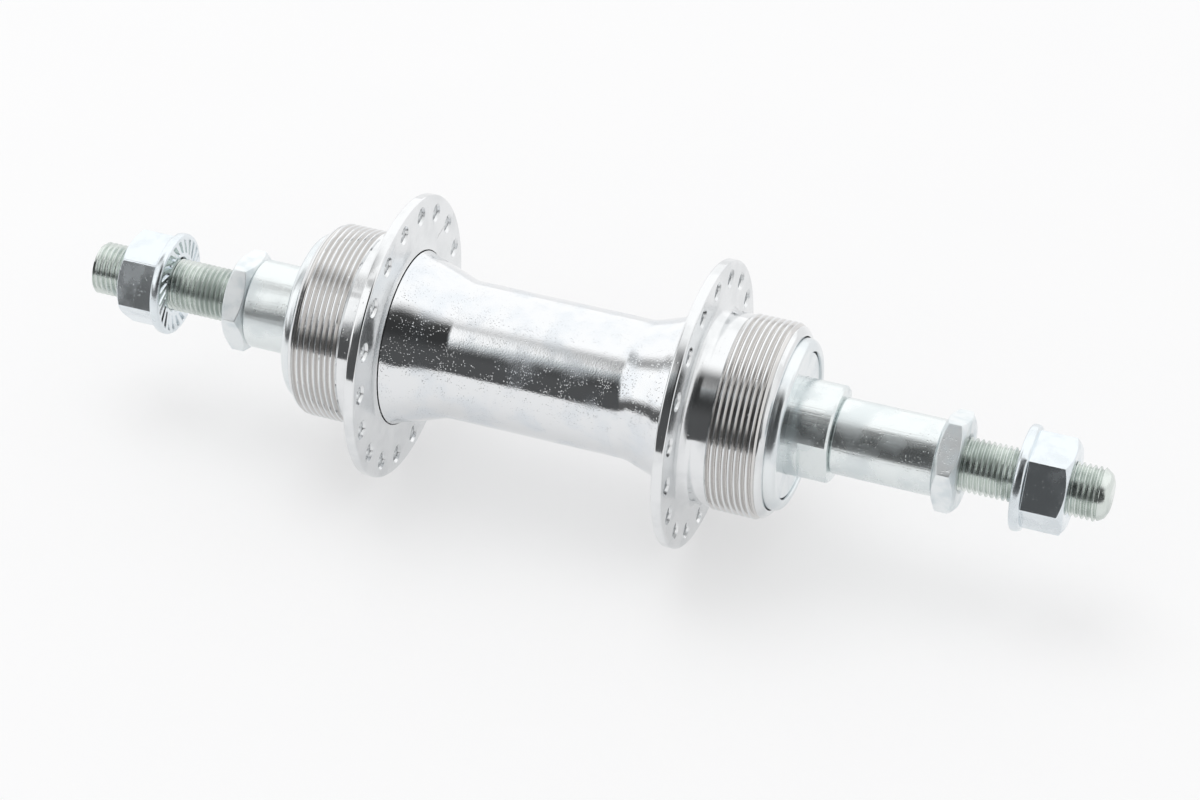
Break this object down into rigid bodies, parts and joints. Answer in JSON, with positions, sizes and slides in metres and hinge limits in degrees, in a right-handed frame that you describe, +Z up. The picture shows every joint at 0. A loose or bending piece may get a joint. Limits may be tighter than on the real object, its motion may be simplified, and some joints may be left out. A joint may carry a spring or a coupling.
{
  "type": "double threaded rear bicycle hub",
  "caption": "Steel rear bicycle hub with a drilled spoke flange and a freewheel thread at each end, turning on cup-and-cone ball bearings about a solid nutted axle.",
  "frame": {"origin": "on the hub axis, at the middle of the axle's length, which is the centre of the bounding box", "axes": "+X along the axle towards the end with the long spacer (the right of the picture), +Y away from the viewer, +Z up"},
  "size_m": [0.188, 0.0514, 0.0514],
  "materials": {
    "shell_chrome": "bright plated steel, slightly pitted",
    "cap_chrome": "bright plated pressed steel",
    "zinc_plate": "clear zinc plated steel",
    "nut_zinc": "clear blue zinc plated steel",
    "axle_steel": "dull zinc plated steel",
    "bearing_steel": "ground steel",
    "ball_steel": "polished steel"
  },
  "bodies": {
    "axle_assembly": {"axle": "axle_steel", "left_cone": "zinc_plate", "right_cone": "zinc_plate", "left_cone_shield": "zinc_plate", "right_cone_shield": "zinc_plate", "left_spacer": "zinc_plate", "right_spacer": "zinc_plate", "left_locknut": "zinc_plate", "right_locknut": "zinc_plate"},
    "hub_shell": {"hub_barrel": "shell_chrome", "left_threaded_flange": "shell_chrome", "right_threaded_flange": "shell_chrome", "left_bearing_cup": "bearing_steel", "right_bearing_cup": "bearing_steel", "left_dust_cap": "cap_chrome", "right_dust_cap": "cap_chrome"},
    "left_ball_set": {"left_bearing_balls": "ball_steel", "left_ball_retainer": "bearing_steel"},
    "right_ball_set": {"right_bearing_balls": "ball_steel", "right_ball_retainer": "bearing_steel"},
    "left_nut": {"left_axle_nut": "nut_zinc"},
    "right_nut": {"right_axle_nut": "nut_zinc"}
  },
  "joints": [
    {"name": "hub_spin", "type": "hinge", "parent": "axle_assembly", "child": "hub_shell", "pos_m": [0, 0, 0], "axis": [1, 0, 0], "continuous": true},
    {"name": "left_balls_orbit", "type": "hinge", "parent": "axle_assembly", "child": "left_ball_set", "pos_m": [-0.045, 0, 0], "axis": [1, 0, 0], "continuous": true},
    {"name": "right_balls_orbit", "type": "hinge", "parent": "axle_assembly", "child": "right_ball_set", "pos_m": [0.032, 0, 0], "axis": [1, 0, 0], "continuous": true},
    {"name": "left_nut_travel", "type": "slide", "parent": "axle_assembly", "child": "left_nut", "axis": [-1, 0, 0], "range_m": [-0.0117, 0.016]},
    {"name": "right_nut_travel", "type": "slide", "parent": "axle_assembly", "child": "right_nut", "axis": [1, 0, 0], "range_m": [-0.0097, 0.016]}
  ],
  "couplings": [
    {"joint": "left_balls_orbit", "follows": "hub_spin", "ratio": 0.608},
    {"joint": "right_balls_orbit", "follows": "hub_spin", "ratio": 0.608}
  ]
}
